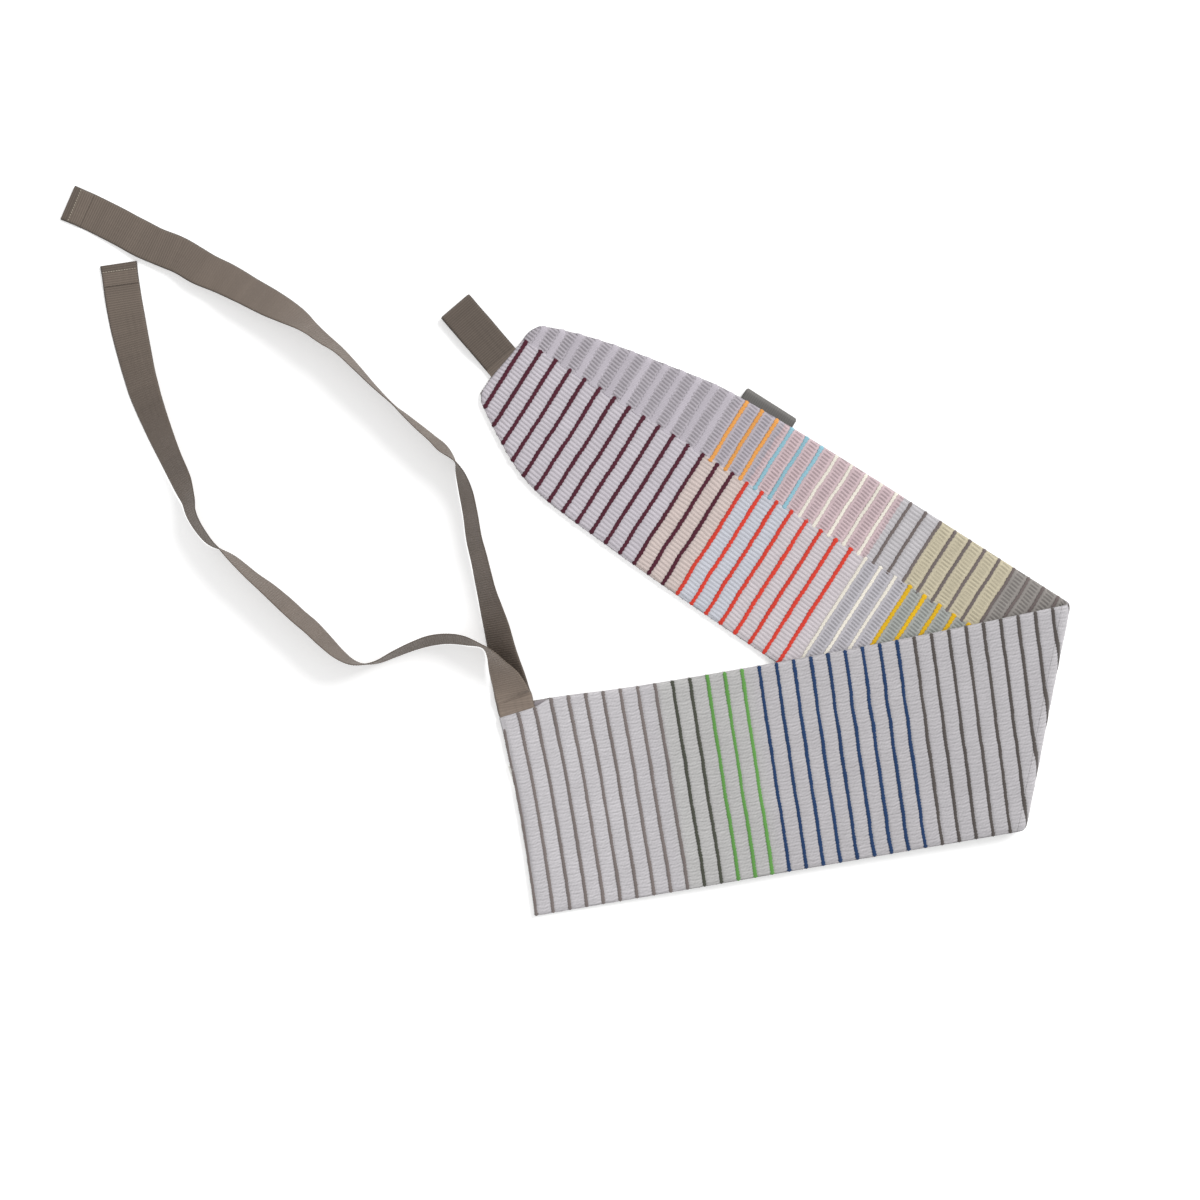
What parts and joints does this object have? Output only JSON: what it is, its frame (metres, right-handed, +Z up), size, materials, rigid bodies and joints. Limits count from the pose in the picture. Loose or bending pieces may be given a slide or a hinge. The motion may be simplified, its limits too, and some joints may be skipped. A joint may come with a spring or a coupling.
{
  "type": "baby sling band",
  "caption": "Padded two-faced baby sling band, folded over once, patchwork one side and stripes the other, with a webbing loop at one end and long webbing ties at the other.",
  "frame": {"origin": "on the surface that the band lies on, under the middle of the folded band's box, the ties left out", "axes": "+Z up from that surface; +X towards the fold; +Y towards the loop end, so that seen from above with +Y up the page it lies as when put down for display"},
  "size_m": [1.0385, 0.7515, 0.0394],
  "materials": {
    "patchwork_cloth": "matt hand-woven cotton with raised coloured yarns",
    "striped_cloth": "matt woven cotton with raised cord stripes",
    "wadding": "soft fibre wadding",
    "webbing": "ribbed woven tape with a slight sheen",
    "backing": "stiff non-woven backing",
    "label_tape": "smooth woven label tape",
    "thread": "twisted polyester thread"
  },
  "bodies": {
    "loop_arm": {"loop_arm_patchwork_cover": "patchwork_cloth", "loop_arm_wadding": "wadding", "loop_arm_striped_cover": "striped_cloth", "fold_patchwork_cover": "patchwork_cloth", "fold_wadding": "wadding", "fold_striped_cover": "striped_cloth", "loop_tail": "webbing", "loop_backing_patch": "backing", "loop_stitching": "thread"},
    "loop": {"loop_webbing": "webbing"},
    "label": {"side_label": "label_tape"},
    "tie_arm": {"tie_arm_patchwork_cover": "patchwork_cloth", "tie_arm_wadding": "wadding", "tie_arm_striped_cover": "striped_cloth", "mouth_bar_tack": "thread", "ties_backing_patch": "backing", "ties_stitching": "thread", "lower_tie_tail": "webbing", "upper_tie_tail": "webbing"},
    "lower_tie_strip": {"lower_tie": "webbing", "lower_tie_hem": "webbing", "lower_tie_hem_stitches": "thread"},
    "upper_tie_strip": {"upper_tie": "webbing", "upper_tie_hem": "webbing", "upper_tie_hem_stitches": "thread"}
  },
  "joints": [
    {"name": "band_fold", "type": "hinge", "parent": "loop_arm", "child": "tie_arm", "pos_m": [0.29706, -0.11442, 0.01], "axis": [0.1942, 0.981, 0], "range_deg": [0, 175], "deforming": ["fold_patchwork_cover", "fold_wadding", "fold_striped_cover"]},
    {"name": "loop_lift", "type": "hinge", "parent": "loop_arm", "child": "loop", "pos_m": [-0.26323, 0.25333, 0.0027], "axis": [0.7587, 0.6514, 0], "range_deg": [0, 90]},
    {"name": "label_lift", "type": "hinge", "parent": "loop_arm", "child": "label", "pos_m": [0.01264, 0.19963, 0.003], "axis": [0.8429, -0.538, 0], "range_deg": [0, 90]},
    {"name": "lower_tie_lift", "type": "hinge", "parent": "tie_arm", "child": "lower_tie_strip", "pos_m": [-0.24792, -0.10026, 0.0021], "axis": [0.9843, 0.1762, 0], "range_deg": [0, 60]},
    {"name": "upper_tie_lift", "type": "hinge", "parent": "lower_tie_strip", "child": "upper_tie_strip", "pos_m": [-0.24792, -0.09826, 0.005], "axis": [0.9843, 0.1762, 0], "range_deg": [0, 25]}
  ]
}
